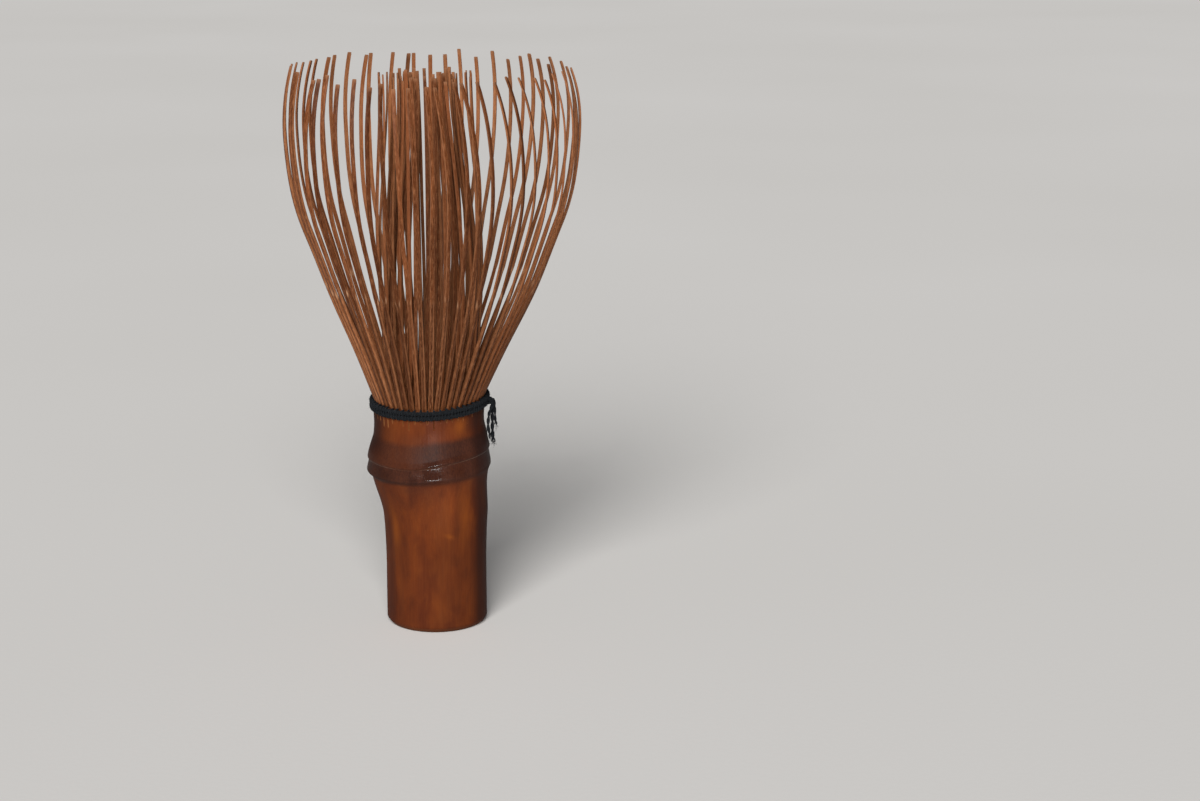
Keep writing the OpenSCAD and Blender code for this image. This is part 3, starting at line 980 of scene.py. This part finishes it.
def make_knot(material):
    """A small reef knot pressed on the two rounds."""
    low, high = node_box("thread_knot")
    c = (low + high) / 2
    size = (high[2] - low[2]) / 2
    a0 = math.atan2(c[1], c[0])
    out = np.array([math.cos(a0), math.sin(a0), 0])
    tan = np.array([-math.sin(a0), math.cos(a0), 0])
    up = np.array([0, 0, 1.0])
    b = Build()
    t = np.linspace(0, 2 * math.pi, 90, endpoint=False)
    for ply in range(2):
        ph = t * 9 + ply * math.pi
        knot = (
            c
            + out * (0.10 + 0.42 * size * np.cos(3 * t))[:, None]
            + tan * (size * 0.62 * (np.sin(t) + 0.85 * np.sin(2 * t)) * 0.62)[:, None]
            + up * (size * 0.60 * (np.cos(t) - 0.85 * np.cos(2 * t)) * 0.62)[:, None]
            + out * (0.13 * np.cos(ph))[:, None]
            + up * (0.13 * np.sin(ph))[:, None]
        )
        tube(b, knot, 0.19, 7, True)
    return b.object("thread_knot_tied", [material])


def make_tail(material):
    """The thread's free ends: a few twisted strands that hang down the side and fray at their ends."""
    rng = np.random.default_rng(SEED + 7)
    end_z = node_box("thread_tail")[0][2] + 0.3
    c = sum(node_box("thread_knot")) / 2
    a0 = math.atan2(c[1], c[0])
    r0 = math.hypot(c[0], c[1])

    def route(*steps):
        """Points from how far they stand off the knot's middle, how far round they are and their heights."""
        points = []
        for off, round_, z in steps:
            a = a0 + round_ / (r0 + off)
            points.append([(r0 + off) * math.cos(a), (r0 + off) * math.sin(a), z])
        return points

    b = Build()
    top = c[2]
    long = route((0.1, 0, top), (0.55, 0.1, top - 0.9), (0.35, 0.5, top - 3.0), (0.30, 0.9, top - 5.6),
                 (0.50, 1.0, end_z))
    strand(b, rng, long, 0.37, 2, 3.5, 18)
    middle = route((0.1, -0.3, top), (0.5, -0.5, top - 0.8), (0.0, -0.9, top - 2.6), (-0.2, -1.1, top - 4.6),
                   (0.35, -1.0, top - 6.9))
    strand(b, rng, middle, 0.33, 2, 3.0, 14)
    short = route((0.1, 0.2, top + 0.2), (0.7, 0.6, top - 0.2), (0.8, 1.1, top - 1.8), (0.85, 1.4, top - 3.9),
                  (1.0, 1.5, top - 4.9))
    strand(b, rng, short, 0.27, 2, 2.5, 12)
    return b.object("thread_ends", [material])


# ---- stage ----
def make_floor():
    mesh = bpy.data.meshes.new("floor")
    # metres here: 16 m square, and a hair below the foot
    n = 9
    line = np.linspace(-8.0, 8.0, n)
    points = [(x, y, -0.00003) for y in line for x in line]
    corners = [r * n + c for r in range(n - 1) for c in range(n - 1)]
    faces = [[k, k + 1, k + n + 1, k + n] for k in corners]
    mesh.from_pydata(points, [], faces)
    mesh.materials.append(floor_material())
    obj = bpy.data.objects.new("floor", mesh)
    bpy.context.scene.collection.objects.link(obj)
    return obj


# The photograph's viewing angle: a place in metres, and degrees down, round and in roll.
CAMERA_AT = (0.01990015, -0.47352102, 0.16376578)
CAMERA_DOWN = 13.83000453
CAMERA_TURN = -1.72281703
CAMERA_ROLL = 0.21321978
CAMERA_LENS = 70.5


def make_camera():
    data = bpy.data.cameras.new("camera")
    data.lens = CAMERA_LENS
    data.sensor_width = 36.0
    data.sensor_fit = "HORIZONTAL"
    data.clip_start = 0.01
    data.clip_end = 50.0
    camera = bpy.data.objects.new("camera", data)
    turn = Matrix.Rotation(math.radians(CAMERA_TURN), 4, "Z")
    pitch = Matrix.Rotation(math.radians(90 - CAMERA_DOWN), 4, "X")
    roll = Matrix.Rotation(math.radians(CAMERA_ROLL), 4, "Z")
    camera.matrix_world = Matrix.Translation(CAMERA_AT) @ turn @ pitch @ roll
    bpy.context.scene.collection.objects.link(camera)
    bpy.context.scene.camera = camera


def aimed(name, data, azimuth, elevation, distance, target=(0.0, 0.0, 0.06)):
    """Puts a light at an azimuth from +X and an elevation, turned to the target, in metres and degrees."""
    a = math.radians(azimuth)
    e = math.radians(elevation)
    way = np.array([math.cos(a) * math.cos(e), math.sin(a) * math.cos(e), math.sin(e)])
    obj = bpy.data.objects.new(name, data)
    right = unit(np.cross([0, 0, 1.0], way))
    up = np.cross(way, right)
    m = Matrix.Identity(4)
    for k in range(3):
        m[k][0] = right[k]
        m[k][1] = up[k]
        m[k][2] = way[k]
        m[k][3] = target[k] + way[k] * distance
    obj.matrix_world = m
    obj.visible_camera = False
    bpy.context.scene.collection.objects.link(obj)


def make_lights():
    """Soft light from the front, a faint room, and a narrow light for the two gleams on the node."""
    sun = bpy.data.lights.new("window_light", "SUN")
    sun.energy = 3.9
    sun.angle = math.radians(34)
    sun.color = (1.0, 0.985, 0.965)
    aimed("window_light", sun, -99, 34, 2.0)
    small = bpy.data.lights.new("small_light", "SPOT")
    small.shadow_soft_size = 0.008
    small.spot_size = math.radians(4.6)
    small.spot_blend = 0.8
    small.energy = 2.6
    aimed("small_light", small, -79, -4.5, 0.4, (0.0, 0.0, 0.036))
    world = bpy.data.worlds.new("room")
    world.use_nodes = True
    world.node_tree.nodes["Background"].inputs["Color"].default_value = (0.92, 0.96, 1.0, 1.0)
    world.node_tree.nodes["Background"].inputs["Strength"].default_value = 0.10
    bpy.context.scene.world = world


# ---- assembly ----
def dress(obj, slot, *nodes):
    if nodes:
        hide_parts(*nodes)


make_camera()
make_lights()
make_floor()
bpy.context.scene.view_settings.view_transform = "Standard"

culm = make_culm(culm_skin(), culm_cut())
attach(culm, "handle")
dress(culm, "smoked_culm", "handle")

outer_skin = tine_material(
    "smoked_outer_tine_split",
    skin_dark=(0.088, 0.0215, 0.0046),
    skin_light=(0.215, 0.0660, 0.0215),
    cut_dark=(0.150, 0.0430, 0.0115),
    cut_light=(0.450, 0.194, 0.0880),
    gloss=0.40,
)
for number, piece in enumerate(make_outer(outer_skin), 1):
    body = f"outer_tines_{number:02d}"
    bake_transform(piece)
    dress(piece, "smoked_outer_tine", body)

inner_skin = tine_material(
    "smoked_inner_tine_split",
    skin_dark=(0.088, 0.0220, 0.0050),
    skin_light=(0.222, 0.0695, 0.0240),
    cut_dark=(0.148, 0.0430, 0.0120),
    cut_light=(0.445, 0.190, 0.0860),
    gloss=0.48,
)
for number, piece in enumerate(make_inner(inner_skin), 1):
    body = f"inner_tines_{number}"
    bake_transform(piece)
    dress(piece, "smoked_inner_tine", body)

cotton = thread_material()
for name, node, lint in (
    ("lacing_lower_laid", "lacing_lower_round", 60),
    ("lacing_upper_laid", "lacing_upper_round", 60),
    ("lacing_inner_laid", "lacing_inner_round", 0),
):
    piece = round_of_thread(name, node, cotton, SEED + 30 + lint + len(name), lint)
    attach(piece, "handle")
    dress(piece, "black_thread", node)
stitches = make_stitches(cotton)
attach(stitches, "handle")
dress(stitches, "black_thread")
knot = make_knot(cotton)
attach(knot, "handle")
dress(knot, "black_thread", "thread_knot")
ends = make_tail(cotton)
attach(ends, "handle")
dress(ends, "black_thread", "thread_tail")

bpy.context.view_layer.update()
